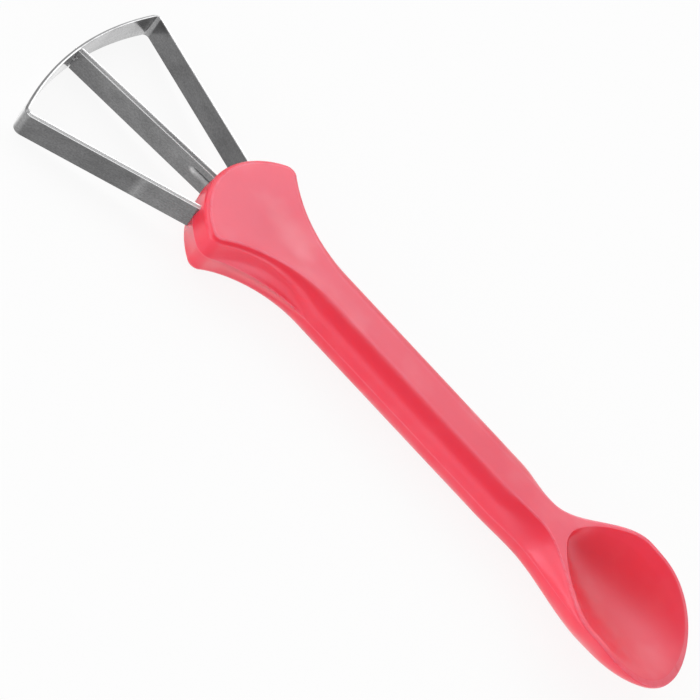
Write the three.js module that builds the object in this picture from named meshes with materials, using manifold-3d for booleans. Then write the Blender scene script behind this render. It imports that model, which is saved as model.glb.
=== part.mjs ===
// Melon cutter: a fan of steel strip held in a moulded handle that ends in a seed scoop. Millimetres, +Z up.
// Working frame: X runs along the grip towards the scoop, Y across it, Z square to the flat of the grip.
// Its origin is where the middle plane of the fan meets the axis of the grip, inside the head of the handle.
import * as THREE from "three";
import { mergeVertices } from "three/addons/utils/BufferGeometryUtils.js";
import Module from "manifold-3d";

// Outer blade
const STRIP_WIDTH = 8;
const STRIP_THICKNESS = 1;
const FAN_ANGLE = 45;
const FAN_WIDTH = 69;
const FAN_REACH = 44.8;
const ARC_RISE = 5.7;
const BEND_RADIUS = 1.4;
const LEG_TANG = 15;
const EDGE_CHAMFER = 0.5;

// Centre blade
const CENTRE_OUTER_WIDTH = 8;
const CENTRE_ROOT_WIDTH = 8.8;
const CENTRE_THICKNESS = 1;
const CENTRE_TANG = 21;
const GRIND_HEIGHT = 1.3;
const GRIND_DEPTH = 0.3;
const TONGUE_WIDTH = 5.5;
const TONGUE_PROUD = 0.3;
const RIB_VISIBLE = 7.3;
const RIB_WIDTH = 2.2;
const RIB_HEIGHT = 0.45;

// Locking holes in the tangs and the clearances of the fits
const LOCK_HOLE = 3.6;
const LOCK_SETBACK = 4.5;
const TANG_GAP = 0.25;
const TONGUE_GAP = 0.2;
const PEG_GAP = 0.25;

// Head of the handle
const HEAD_BEND = 4.5;
const BEND_SPAN = 10;
const HEAD_FRONT = 14.4;
const FRONT_RADIUS = 28;
const CORNER_RADIUS = 3.8;
const HEAD_EDGE = 1.7;
const HEAD_LOWER_EDGE = 2;
const HEAD_DRAFT = 0.4;
const HEAD_DROP = 0.2;
const HEAD_SAG = 0.5;
const DISH_DEPTH = 0.6;
const FLAT_GROWTH = 0.9;
const EDGE_GROWTH = 2.5;

// Flare and grip
const FLARE_LENGTH = 29.9;
const FLARE_RADIUS = 43;
const GRIP_WIDTH = 20.9;
const GRIP_LENGTH = 69.9;
const GRIP_EDGE = 6;
const HANDLE_THICKNESS = 13.4;

// Neck and scoop
const NECK_LENGTH = 13.2;
const NECK_WIDTH = 19.3;
const SCOOP_FLARE = 28.9;
const SCOOP_WIDTH = 45.6;
const SCOOP_PARALLEL = 6.1;
const SCOOP_NOSE = 22.4;
const RIM_RISE = 1.5;
const TIP_DROP = 6.2;
const BELLY_RISE = 0.5;
const RIM_EDGE = 0.4;
const RIM_WIDTH = 2.35;
const FLOOR_THICKNESS = 7.8;
const BOWL_SETBACK = 8.6;
const BOWL_HEEL = 7.5;
const HEEL_FULLNESS = 2.3;
const FLOOR_FULLNESS = 2.2;
const RIDGE_ANGLE = 66;

// Smoothness of the curves
const CORNER_STEPS = 5;
const ARC_STEPS = 24;
const FRONT_STEPS = 12;
const FLARE_STEPS = 9;
const NECK_STEPS = 5;
const BOWL_STEPS = 22;
const TIP_STEPS = 4;
const BOWL_COLUMNS = 8;
const RIM_COLUMNS = 3;
const EDGE_ROWS = 5;
const BELLY_ROWS = 7;
const ROUND_SIDES = 24;
const MERGE_DISTANCE = 1e-4;

// Sizes that follow from the ones above
const halfWidth = FAN_WIDTH / 2;
const halfAngle = THREE.MathUtils.degToRad(FAN_ANGLE / 2);
const chordX = -(HEAD_FRONT + FAN_REACH);
const arcRadius = (halfWidth ** 2 + ARC_RISE ** 2) / (2 * ARC_RISE);
const arcCentreX = chordX - ARC_RISE + arcRadius;
const frontCentreX = FRONT_RADIUS - HEAD_FRONT;
const halfThick = HANDLE_THICKNESS / 2;
const gripHalf = GRIP_WIDTH / 2;
const gripEdge = Math.min(GRIP_EDGE, halfThick);
const gripFlat = gripHalf - gripEdge;
const gripEnd = FLARE_LENGTH + GRIP_LENGTH;
const neckX = gripEnd + NECK_LENGTH;
const wideX = neckX + SCOOP_FLARE;
const noseX = wideX + SCOOP_PARALLEL;
const tipX = noseX + SCOOP_NOSE;
const bowlStartX = neckX + BOWL_SETBACK;
const bowlEndX = tipX - RIM_WIDTH;
const rimPeak = halfThick + RIM_RISE;
const scoopHalf = SCOOP_WIDTH / 2;
const scoopDepth = rimPeak + halfThick - BELLY_RISE;
const bend = THREE.MathUtils.degToRad(HEAD_BEND);
const cutterLength = 4 * Math.max(STRIP_THICKNESS, CENTRE_THICKNESS);
const pegLength = cutterLength - Math.min(STRIP_THICKNESS, CENTRE_THICKNESS);

const wasm = await Module();
wasm.setup();

// Joins closed rings, which run clockwise as seen along the row of rings, into one skin. Points that fall
// together are merged, so a ring may be folded flat or shrunk to a point. Caps close open end rings.
function skin(rings, caps) {
  const count = rings[0].length;
  const positions = rings.flat(2);
  const faces = [];
  for (let r = 0; r + 1 < rings.length; r += 1) {
    for (let k = 0; k < count; k += 1) {
      const a = r * count + k;
      const b = r * count + ((k + 1) % count);
      faces.push([a, b + count, b], [a, a + count, b + count]);
    }
  }
  if (caps) {
    const last = (rings.length - 1) * count;
    for (let k = 1; k + 1 < count; k += 1) {
      faces.push([0, k, k + 1], [last, last + k + 1, last + k]);
    }
  }
  const raw = new THREE.BufferGeometry();
  raw.setAttribute("position", new THREE.Float32BufferAttribute(positions, 3));
  raw.setIndex(faces.flat());
  const merged = mergeVertices(raw, MERGE_DISTANCE);
  const index = Array.from(merged.index.array);
  const kept = [];
  for (let i = 0; i < index.length; i += 3) {
    const [a, b, c] = index.slice(i, i + 3);
    if (a !== b && b !== c && c !== a) kept.push(a, b, c);
  }
  merged.setIndex(kept);
  return merged;
}

function solid(geometry) {
  const bare = geometry.clone();
  bare.deleteAttribute("normal");
  bare.deleteAttribute("uv");
  const merged = mergeVertices(bare, MERGE_DISTANCE);
  return new wasm.Manifold(new wasm.Mesh({
    numProp: 3,
    vertProperties: Float32Array.from(merged.attributes.position.array),
    triVerts: Uint32Array.from(merged.index.array),
  }));
}

function geometryOf(body) {
  const mesh = body.getMesh();
  const geometry = new THREE.BufferGeometry();
  geometry.setAttribute("position", new THREE.Float32BufferAttribute(mesh.vertProperties, 3));
  geometry.setIndex(Array.from(mesh.triVerts));
  return geometry;
}

function box(lengthX, widthY, heightZ, x, y, z) {
  return new THREE.BoxGeometry(lengthX, widthY, heightZ).translate(x, y, z);
}

// A round bar whose axis lies along Y, turned about Z by the given angle and moved to its place.
function crossBar(radius, length, turn, x, y) {
  return new THREE.CylinderGeometry(radius, radius, length, ROUND_SIDES).rotateZ(turn).translate(x, y, 0);
}

// Sweeps a section along a plan path. A section point is [offset to the outside of the path, height].
function sweep(path, section) {
  const rings = path.map(({ at, out }) =>
    section.map(([offset, z]) => [at[0] + out[0] * offset, at[1] + out[1] * offset, z]));
  return skin(rings, true);
}

// Distance from a point, along a unit direction, to the near side of a circle centred on the middle line.
function distanceToCircle(point, along, centreX, radius) {
  const from = [point[0] - centreX, point[1]];
  const b = from[0] * along[0] + from[1] * along[1];
  const c = from[0] ** 2 + from[1] ** 2 - radius ** 2;
  return -b - Math.sqrt(b * b - c);
}

// Plan of one leg, on the +Y side. The outer faces of leg and arc would meet in a sharp corner at the chord.
const legAlong = [Math.cos(halfAngle), -Math.sin(halfAngle)];
const legOut = [Math.sin(halfAngle), Math.cos(halfAngle)];

function onLeg(distance, offset) {
  return [
    chordX + legAlong[0] * distance + legOut[0] * offset,
    halfWidth + legAlong[1] * distance + legOut[1] * offset,
  ];
}

// Distances along the leg to the round front wall of the head, the end of the tang and its lock hole.
const stripMiddle = STRIP_THICKNESS / 2;
const legEntry = distanceToCircle(onLeg(0, -stripMiddle), legAlong, frontCentreX, FRONT_RADIUS);
const legEnd = legEntry + LEG_TANG;
const legLock = legEnd - LOCK_SETBACK;
const centreEndX = -HEAD_FRONT + CENTRE_TANG;
const centreLockX = centreEndX - LOCK_SETBACK;

// Middle line of the outer blade, from the end of one tang round the arc to the end of the other.
function outerPath() {
  const bendMiddle = BEND_RADIUS + stripMiddle;
  const arcMiddle = arcRadius - stripMiddle;
  const inset = -(stripMiddle + bendMiddle);
  const pivot = onLeg(distanceToCircle(onLeg(0, inset), legAlong, arcCentreX, arcMiddle - bendMiddle), inset);
  const legTurn = Math.atan2(legOut[1], legOut[0]);
  const arcTurn = Math.atan2(pivot[1], pivot[0] - arcCentreX);
  const half = [{ at: onLeg(legEnd, -stripMiddle), out: legOut }];
  for (let i = 0; i <= CORNER_STEPS; i += 1) {
    const turn = THREE.MathUtils.lerp(legTurn, arcTurn, i / CORNER_STEPS);
    const out = [Math.cos(turn), Math.sin(turn)];
    half.push({ at: [pivot[0] + bendMiddle * out[0], pivot[1] + bendMiddle * out[1]], out });
  }
  for (let i = 1; i <= ARC_STEPS / 2; i += 1) {
    const turn = THREE.MathUtils.lerp(arcTurn, Math.PI, (2 * i) / ARC_STEPS);
    const out = [Math.cos(turn), Math.sin(turn)];
    half.push({ at: [arcCentreX + arcMiddle * out[0], arcMiddle * out[1]], out });
  }
  const mirrored = ({ at, out }) => ({ at: [at[0], -at[1]], out: [out[0], -out[1]] });
  return half.concat(half.slice(0, -1).reverse().map(mirrored));
}

const strip = sweep(outerPath(), [
  [-stripMiddle, -STRIP_WIDTH / 2],
  [stripMiddle, -STRIP_WIDTH / 2],
  [stripMiddle, STRIP_WIDTH / 2 - EDGE_CHAMFER],
  [stripMiddle - EDGE_CHAMFER, STRIP_WIDTH / 2],
  [-stripMiddle, STRIP_WIDTH / 2],
]);
const arcFrontX = chordX - ARC_RISE;
const tongueSlot = box(cutterLength, CENTRE_THICKNESS + 2 * TONGUE_GAP, TONGUE_WIDTH + 2 * TONGUE_GAP,
  arcFrontX + stripMiddle, 0, 0);
let outerBody = solid(strip).subtract(solid(tongueSlot));
for (const side of [1, -1]) {
  const [x, y] = onLeg(legLock, -stripMiddle);
  const hole = crossBar(LOCK_HOLE / 2, cutterLength, -side * halfAngle, x, side * y);
  outerBody = outerBody.subtract(solid(hole));
}

// The centre blade: a strip that widens to its root and is ground on both faces of its upper edge, with a
// tongue, a lock hole and a pressed rib.
const shoulderX = arcFrontX + STRIP_THICKNESS + TONGUE_GAP;
const tongueEndX = arcFrontX - TONGUE_PROUD;
const centreHalf = CENTRE_THICKNESS / 2;
const centreRing = (x, width) => [
  [x, -centreHalf, -width / 2],
  [x, centreHalf, -width / 2],
  [x, centreHalf, width / 2 - GRIND_HEIGHT],
  [x, centreHalf - GRIND_DEPTH, width / 2],
  [x, GRIND_DEPTH - centreHalf, width / 2],
  [x, -centreHalf, width / 2 - GRIND_HEIGHT],
];
const centreStrip = skin([
  centreRing(centreEndX, CENTRE_ROOT_WIDTH),
  centreRing(-HEAD_FRONT, CENTRE_ROOT_WIDTH),
  centreRing(shoulderX, CENTRE_OUTER_WIDTH),
], true);
const tongue = box(shoulderX + CENTRE_THICKNESS - tongueEndX, CENTRE_THICKNESS, TONGUE_WIDTH,
  (shoulderX + CENTRE_THICKNESS + tongueEndX) / 2, 0, 0);

// Half-round bar with a round nose, along X, as the rib stands out of a face at the given depth.
const ribNoseX = -HEAD_FRONT - RIB_VISIBLE + RIB_WIDTH;
const ribEndX = centreLockX - LOCK_HOLE;

function ribBar(depth) {
  const bar = new THREE.CylinderGeometry(1, 1, ribEndX - ribNoseX, ROUND_SIDES).rotateZ(Math.PI / 2);
  const nose = new THREE.SphereGeometry(1, ROUND_SIDES, ROUND_SIDES / 2).rotateZ(Math.PI / 2);
  bar.scale(1, RIB_HEIGHT, RIB_WIDTH / 2).translate((ribNoseX + ribEndX) / 2, depth, 0);
  nose.scale(RIB_WIDTH, RIB_HEIGHT, RIB_WIDTH / 2).translate(ribNoseX, depth, 0);
  return solid(bar).add(solid(nose));
}

const lockBar = crossBar(LOCK_HOLE / 2, cutterLength, 0, centreLockX, 0);
const centreBody = solid(centreStrip)
  .add(solid(tongue))
  .add(ribBar(-centreHalf))
  .subtract(ribBar(centreHalf))
  .subtract(solid(lockBar));

// Plan of the head and flare on the +Y side: a round front, a small corner arc and a hollow flare.
// Each station holds its point on the parting line and the direction square to the outline, inwards.
function headPlan() {
  const front = [frontCentreX, 0];
  const flare = [FLARE_LENGTH, gripHalf + FLARE_RADIUS];
  const toFlare = [flare[0] - front[0], flare[1] - front[1]];
  const span = Math.hypot(toFlare[0], toFlare[1]);
  const near = FRONT_RADIUS - CORNER_RADIUS;
  const far = FLARE_RADIUS + CORNER_RADIUS;
  const along = (near ** 2 - far ** 2 + span ** 2) / (2 * span);
  const across = Math.sqrt(near ** 2 - along ** 2);
  const unit = [toFlare[0] / span, toFlare[1] / span];
  const corner = [
    front[0] + unit[0] * along - unit[1] * across,
    front[1] + unit[1] * along + unit[0] * across,
  ];
  const cornerTurn = Math.atan2(corner[1] - front[1], corner[0] - front[0]);
  const flareTurn = Math.atan2(corner[1] - flare[1], corner[0] - flare[0]);
  const stations = [];
  const addArc = (centre, radius, from, to, steps, first, solidSide) => {
    for (let i = first; i <= steps; i += 1) {
      const turn = THREE.MathUtils.lerp(from, to, i / steps);
      const out = [Math.cos(turn), Math.sin(turn)];
      stations.push({
        at: [centre[0] + radius * out[0], centre[1] + radius * out[1]],
        inward: [-solidSide * out[0], -solidSide * out[1]],
      });
    }
  };
  addArc(front, FRONT_RADIUS, Math.PI, cornerTurn, FRONT_STEPS, 0, 1);
  addArc(corner, CORNER_RADIUS, cornerTurn, flareTurn + Math.PI, CORNER_STEPS, 1, 1);
  const cornerX = stations[stations.length - 1].at[0];
  addArc(flare, FLARE_RADIUS, flareTurn, -Math.PI / 2, FLARE_STEPS, 1, -1);
  return { stations, cornerX };
}

const ramp = (x, from, to) => THREE.MathUtils.smoothstep(x, from, to);

// Depth of the shallow thumb dish in the upper face of the head, whose half-width there is the given edge.
function dish(x, y, edge) {
  const lengthways = ramp(x, -HEAD_FRONT, frontCentreX) * (1 - ramp(x, frontCentreX, FLARE_LENGTH));
  const across = edge > 0 ? 1 - Math.min(1, (y / edge) ** 2) : 0;
  return DISH_DEPTH * lengthways * across ** 2;
}

// One half of a ring of the handle, from the middle of the upper face over the parting line to the underside.
// The hollow of the scoop is a parabola across.
function halfRing(shape) {
  const { at, inward, partHeight, top, bottom, upper, lower, sweepAngle } = shape;
  const points = [];
  const place = (inset, z) => [at[0] + inward[0] * inset, at[1] + inward[1] * inset, z];
  const edge = place(upper.inset, top);
  for (let k = 0; k <= BOWL_COLUMNS; k += 1) {
    const share = k / BOWL_COLUMNS;
    const y = shape.bowlHalf * share;
    const z = top - shape.bowlDepth * (1 - share ** 2);
    points.push([edge[0], y, z - dish(edge[0], y, edge[1])]);
  }
  for (let k = 1; k <= RIM_COLUMNS; k += 1) {
    const y = THREE.MathUtils.lerp(shape.bowlHalf, edge[1], k / RIM_COLUMNS);
    points.push([edge[0], y, top - dish(edge[0], y, edge[1])]);
  }
  const upperWall = partHeight + upper.wall;
  for (let k = 1; k <= EDGE_ROWS; k += 1) {
    const turn = sweepAngle * (1 - k / EDGE_ROWS);
    const share = (1 - Math.cos(turn)) / (1 - Math.cos(sweepAngle));
    const inset = THREE.MathUtils.lerp(upper.draft, upper.inset, share);
    points.push(place(inset, upperWall + ((top - upperWall) * Math.sin(turn)) / Math.sin(sweepAngle)));
  }
  points.push(place(0, partHeight));
  const lowerWall = partHeight - lower.wall;
  for (let k = 0; k <= BELLY_ROWS; k += 1) {
    const turn = (Math.PI / 2) * (k / BELLY_ROWS);
    const inset = THREE.MathUtils.lerp(lower.draft, lower.inset, 1 - Math.cos(turn));
    points.push(place(inset, lowerWall + (bottom - lowerWall) * Math.sin(turn)));
  }
  const low = points[points.length - 1];
  points.push([low[0], 0, low[2]]);
  return points;
}

function fullRing(half) {
  const other = half.slice(1, -1).reverse().map(([x, y, z]) => [x, -y, z]);
  return half.concat(other);
}

// Shape of a station of the head, flare or grip. The flanks slope from the parting line to the rounded edges.
// The edges stay small along the flare, where the flats narrow, and turn into the round sides of the grip.
function headShape({ at, inward }, cornerX) {
  const along = THREE.MathUtils.clamp((at[0] - cornerX) / (FLARE_LENGTH - cornerX), 0, 1);
  const side = (headEdge, height) => {
    const start = Math.min(headEdge, gripEdge - HEAD_DRAFT, CORNER_RADIUS - HEAD_DRAFT);
    const edge = THREE.MathUtils.lerp(start, gripEdge, along ** EDGE_GROWTH);
    const inset = THREE.MathUtils.lerp(start + HEAD_DRAFT, gripEdge, along ** FLAT_GROWTH);
    return { inset, draft: inset - edge, wall: height - edge };
  };
  const headShare = 1 - ramp(at[0], cornerX, FLARE_LENGTH);
  const top = halfThick - HEAD_DROP * headShare;
  const bottom = -halfThick - HEAD_SAG * headShare;
  return {
    at, inward, top, bottom, upper: side(HEAD_EDGE, top), lower: side(HEAD_LOWER_EDGE, -bottom),
    partHeight: 0, sweepAngle: Math.PI / 2, bowlHalf: 0, bowlDepth: 0,
  };
}

// Shape of the neck and scoop at a place along the handle. The grip's upper edge spreads out into the rim,
// and the rim arches up to its highest line and down again to the tip.
function scoopShape(x) {
  const open = ramp(x, neckX, wideX);
  const neckHalf = THREE.MathUtils.lerp(gripHalf, NECK_WIDTH / 2, ramp(x, gripEnd, neckX));
  const noseShare = x > noseX ? Math.sqrt(Math.max(0, 1 - ((x - noseX) / SCOOP_NOSE) ** 2)) : 1;
  const half = THREE.MathUtils.lerp(neckHalf, scoopHalf, open) * noseShare;
  const ridge = Math.min(gripFlat, neckHalf);
  const rimInset = Math.min(THREE.MathUtils.lerp(neckHalf - ridge, RIM_EDGE, open), half);
  const past = THREE.MathUtils.clamp((x - wideX) / (tipX - wideX), 0, 1);
  const spread = ramp(x, gripEnd, wideX);
  const top = halfThick + RIM_RISE * spread - TIP_DROP * past ** 2;
  const depth = x < wideX
    ? top + halfThick - BELLY_RISE * spread
    : scoopDepth * Math.cos((Math.PI / 2) * past);
  const partHeight = (top - Math.min(RIM_EDGE, depth)) * open;
  const wall = (halfThick - gripEdge) * (1 - open);
  const bowl = bowlShape(x, half - rimInset + RIM_EDGE - RIM_WIDTH);
  return {
    at: [x, half], inward: [0, -1], top, bottom: top - depth, partHeight,
    upper: { inset: rimInset, draft: 0, wall }, lower: { inset: half - ridge * (1 - open), draft: 0, wall },
    sweepAngle: THREE.MathUtils.degToRad(THREE.MathUtils.lerp(90, RIDGE_ANGLE, ramp(x, gripEnd, neckX))),
    bowlHalf: bowl.half, bowlDepth: bowl.depth,
  };
}

// A quarter of a rounded-square curve: 0 at share 0, level at 1 from share 1 on.
function rounded(share, fullness) {
  return (1 - (1 - Math.min(1, share)) ** fullness) ** (1 / fullness);
}

// Half-width and depth of the hollow of the scoop, which is as wide as the rim leaves it behind its nose.
// Its heel is rounded, and its nose is round about the same centre as the nose of the rim.
function bowlShape(x, widthBehindNose) {
  if (x <= bowlStartX || x >= bowlEndX) return { half: 0, depth: 0 };
  const heel = rounded((x - bowlStartX) / BOWL_HEEL, HEEL_FULLNESS);
  const nose = Math.sqrt(1 - ((x - noseX) / (bowlEndX - noseX)) ** 2);
  const half = x > noseX ? (scoopHalf - RIM_WIDTH) * nose : widthBehindNose * heel;
  const floor = x < wideX
    ? rounded((x - bowlStartX) / (wideX - bowlStartX), FLOOR_FULLNESS)
    : Math.cos(((Math.PI / 2) * (x - wideX)) / (bowlEndX - wideX));
  return { half, depth: (scoopDepth - FLOOR_THICKNESS) * floor };
}

// The head leans down from the axis of the grip, with a soft bend round the origin.
function leaned([x, y, z]) {
  const turn = -bend * (1 - ramp(x, -BEND_SPAN, BEND_SPAN));
  return [x * Math.cos(turn) + z * Math.sin(turn), y, -x * Math.sin(turn) + z * Math.cos(turn)];
}

function handleRings() {
  const { stations, cornerX } = headPlan();
  const shapes = stations.map((station) => headShape(station, cornerX));
  const spread = (from, to, steps, ease) => {
    for (let i = 1; i <= steps; i += 1) {
      shapes.push(scoopShape(THREE.MathUtils.lerp(from, to, ease(i / steps))));
    }
  };
  shapes.push(scoopShape(gripEnd));
  spread(gripEnd, bowlStartX, NECK_STEPS, (t) => t);
  spread(bowlStartX, bowlEndX, BOWL_STEPS, (t) => (1 - Math.cos(Math.PI * t)) / 2);
  spread(bowlEndX, tipX, TIP_STEPS, (t) => 1 - (1 - t) ** 2);
  return shapes.map((shape) => fullRing(halfRing(shape).map(leaned)));
}

// Slots for the tangs, cut in from the front of the head, and the pegs that fill the lock holes.
const lean = new THREE.Matrix4().makeRotationY(-bend);
const slotMouth = FAN_REACH / 2;
let handleBody = solid(skin(handleRings(), false));
const slots = [];
const pegs = [];
for (const side of [1, -1]) {
  const near = onLeg(legEntry - slotMouth, -stripMiddle);
  const end = onLeg(legEnd + TANG_GAP, -stripMiddle);
  const lock = onLeg(legLock, -stripMiddle);
  const length = Math.hypot(end[0] - near[0], end[1] - near[1]);
  const slot = new THREE.BoxGeometry(length, STRIP_THICKNESS + 2 * TANG_GAP, STRIP_WIDTH + 2 * TANG_GAP);
  slot.rotateZ(-side * halfAngle).translate((near[0] + end[0]) / 2, (side * (near[1] + end[1])) / 2, 0);
  slots.push(slot);
  pegs.push(crossBar(LOCK_HOLE / 2 - PEG_GAP, pegLength, -side * halfAngle, lock[0], side * lock[1]));
}
const centreMouth = -HEAD_FRONT - slotMouth;
const centreSlotEnd = centreEndX + TANG_GAP;
slots.push(box(centreSlotEnd - centreMouth, CENTRE_THICKNESS + 2 * TANG_GAP, CENTRE_ROOT_WIDTH + 2 * TANG_GAP,
  (centreSlotEnd + centreMouth) / 2, 0, 0));
const ribSlotEnd = ribEndX + TANG_GAP;
slots.push(box(ribSlotEnd - centreMouth, RIB_HEIGHT + TANG_GAP + centreHalf, RIB_WIDTH + 2 * TANG_GAP,
  (ribSlotEnd + centreMouth) / 2, -(RIB_HEIGHT + TANG_GAP + centreHalf) / 2, 0));
pegs.push(crossBar(LOCK_HOLE / 2 - PEG_GAP, pegLength, 0, centreLockX, 0));
for (const slot of slots) handleBody = handleBody.subtract(solid(slot.applyMatrix4(lean)));
for (const peg of pegs) handleBody = handleBody.add(solid(peg.applyMatrix4(lean)));

function steel(colour) {
  return new THREE.MeshStandardMaterial({ color: colour, metalness: 1, roughness: 0.3 });
}

const outerBlade = new THREE.Mesh(geometryOf(outerBody), steel(0xb4b6b8));
outerBlade.name = "outer_blade";
const centreBlade = new THREE.Mesh(geometryOf(centreBody), steel(0xbabcbe));
centreBlade.name = "centre_blade";
const plastic = new THREE.MeshStandardMaterial({ color: 0xe0374a, metalness: 0, roughness: 0.25 });
const handle = new THREE.Mesh(geometryOf(handleBody), plastic);
handle.name = "handle";

// The fan leans with the head. The part is lifted until the lowest edge of the arc is at height 0, and its
// middle is over the origin.
const fan = new THREE.Group();
fan.rotation.y = -bend;
fan.add(outerBlade, centreBlade);
const part = new THREE.Group();
part.add(fan, handle);
part.updateMatrixWorld(true);
const bounds = new THREE.Box3().setFromObject(part, true);
part.position.set(-(bounds.min.x + bounds.max.x) / 2, 0, -bounds.min.z);
part.updateMatrixWorld(true);

export default part;
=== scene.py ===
import math

import bmesh
import bpy
import numpy as np
from bpy.props import FloatProperty, FloatVectorProperty, PointerProperty
from mathutils import Matrix, Vector


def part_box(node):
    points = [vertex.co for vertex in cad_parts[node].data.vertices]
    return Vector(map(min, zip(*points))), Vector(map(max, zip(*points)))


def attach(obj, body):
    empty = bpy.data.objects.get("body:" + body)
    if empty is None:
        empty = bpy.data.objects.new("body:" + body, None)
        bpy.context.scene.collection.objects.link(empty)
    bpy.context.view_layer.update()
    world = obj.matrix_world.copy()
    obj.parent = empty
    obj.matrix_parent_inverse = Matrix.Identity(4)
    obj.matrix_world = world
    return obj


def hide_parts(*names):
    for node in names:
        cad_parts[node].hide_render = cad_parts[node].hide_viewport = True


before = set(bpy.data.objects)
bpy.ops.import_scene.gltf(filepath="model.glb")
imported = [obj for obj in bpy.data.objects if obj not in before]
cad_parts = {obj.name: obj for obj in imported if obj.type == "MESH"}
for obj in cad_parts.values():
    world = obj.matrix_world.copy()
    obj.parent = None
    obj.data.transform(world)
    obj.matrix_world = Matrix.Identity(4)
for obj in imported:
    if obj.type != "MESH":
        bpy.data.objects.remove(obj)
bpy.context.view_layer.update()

bl_info = {
    "name": "Melon cutter",
    "version": (1, 0, 0),
    "blender": (4, 5, 0),
    "location": "View3D > Sidebar > Melon cutter",
    "description": "Fan of steel blades in a translucent red handle with a seed scoop",
    "category": "Add Mesh",
}

MM = 0.001
MERGE_DISTANCE = 1e-7
TINY = 1e-9

# Angles above which an edge is bevelled or shaded sharp
BEVEL_ANGLE = math.radians(40)
STEEL_SHARP = math.radians(25)
ROUND_SHARP = math.radians(60)

# How finely each stretch of a surface is divided
LEG_STEPS, BEND_STEPS, ARC_STEPS = 29, 15, 70
TONGUE_STEPS, BLADE_STEPS, RIB_STEPS, TANG_STEPS = 3, 39, 59, 15
NOTCH_STEPS, FACE_STEPS, EDGE_STEPS = 3, 43, 4
FRONT_STEPS, CORNER_STEPS, FLARE_STEPS = 64, 16, 56
GRIP_STEPS, NECK_STEPS, BOWL_STEPS, TIP_STEPS = 34, 46, 150, 22
HOLLOW_STEPS, LIP_STEPS, RIM_STEPS, RIDGE_STEPS = 30, 9, 9, 7
FLANK_STEPS, SEAM_STEPS, BELLY_STEPS, UNDER_STEPS = 20, 7, 34, 5
BEAD_ROWS, BEAD_COLUMNS = 17, 24

# Most of a neighbouring face that a rounding takes, and the part of the lip's rounding that the heel keeps
ROUND_SHARE = 0.45
LIP_SHARE = 0.6
HEEL_EASE = 0.3

# Spread of the pressed rib against its width, and half of the width of a ground line in millimetres
RIB_SPREAD = 0.62
GROUND_LINE_HALF = 0.08

# Camera solved on the photograph, in degrees, millimetres and pixels
IMAGE_SIZE = 700
CAMERA_TURN, CAMERA_HEIGHT, CAMERA_ROLL = -0.28, 40.841, 43.659
CAMERA_DISTANCE = 640.0
FOCAL_PIXELS = 2350.9
TARGET_FROM_CHORD, TARGET_HEIGHT = 103.406, -8.433
SENSOR_WIDTH = 36.0


def length(name, description, millimetres):
    """A size that is written here in millimetres and held in metres."""
    metres = millimetres * MM
    return FloatProperty(name=name, description=description, default=metres, unit="LENGTH", precision=5)


def angle(name, description, degrees):
    """An angle that is written here in degrees and held in radians."""
    return FloatProperty(name=name, description=description, default=math.radians(degrees), subtype="ANGLE")


def share(name, description, value):
    """A plain number, such as the power of a curve or the level of a light."""
    return FloatProperty(name=name, description=description, default=value, precision=3)


def colour(name, description, red, green, blue):
    """A linear colour."""
    return FloatVectorProperty(
        name=name, description=description, default=(red, green, blue), size=3, min=0.0, max=1.0,
        subtype="COLOR",
    )


class FanSizes(bpy.types.PropertyGroup):
    """Sizes of the two blades of the fan."""

    strip_width: length("Strip width", "Height of the outer strip", 8.0)
    strip_thickness: length("Strip thickness", "Thickness of the steel strip", 1.0)
    fan_angle: angle("Fan angle", "Angle between the two legs", 45.0)
    fan_width: length("Fan width", "Width over the sharp outer corners", 69.0)
    fan_reach: length("Fan reach", "From the front of the head to the chord of the arc", 44.8)
    arc_rise: length("Arc rise", "How far the arc bulges past its chord", 5.7)
    bend_radius: length("Bend radius", "Inner radius of the two bends", 1.4)
    leg_tang: length("Leg tang", "Length of a leg inside the head", 15.0)
    edge_chamfer: length("Edge chamfer", "Chamfer on the outer upper edge of the strip", 0.5)
    grind_height: length("Grind height", "Height of the centre blade's ground band", 1.3)
    grind_depth: length("Grind depth", "Steel ground away at the centre blade's edge", 0.3)
    centre_outer_width: length("Centre outer width", "Height of the centre blade next to the arc", 8.0)
    centre_root_width: length("Centre root width", "Height of the centre blade at the head", 8.8)
    centre_tang: length("Centre tang", "Length of the centre blade inside the head", 21.0)
    tongue_width: length("Tongue width", "Height of the tongue that goes through the arc", 5.5)
    tongue_proud: length("Tongue proud", "How far the tongue stands out of the arc", 0.3)
    tongue_gap: length("Tongue gap", "Clearance of the tongue in its slot", 0.2)
    rib_visible: length("Rib length", "Length of the pressed rib in front of the head", 7.3)
    rib_width: length("Rib width", "Width of the pressed rib", 2.2)
    rib_height: length("Rib height", "Height of the pressed rib", 0.22)
    edge_round: length("Edge rounding", "Small radius on the edges of the steel", 0.07)


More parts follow.
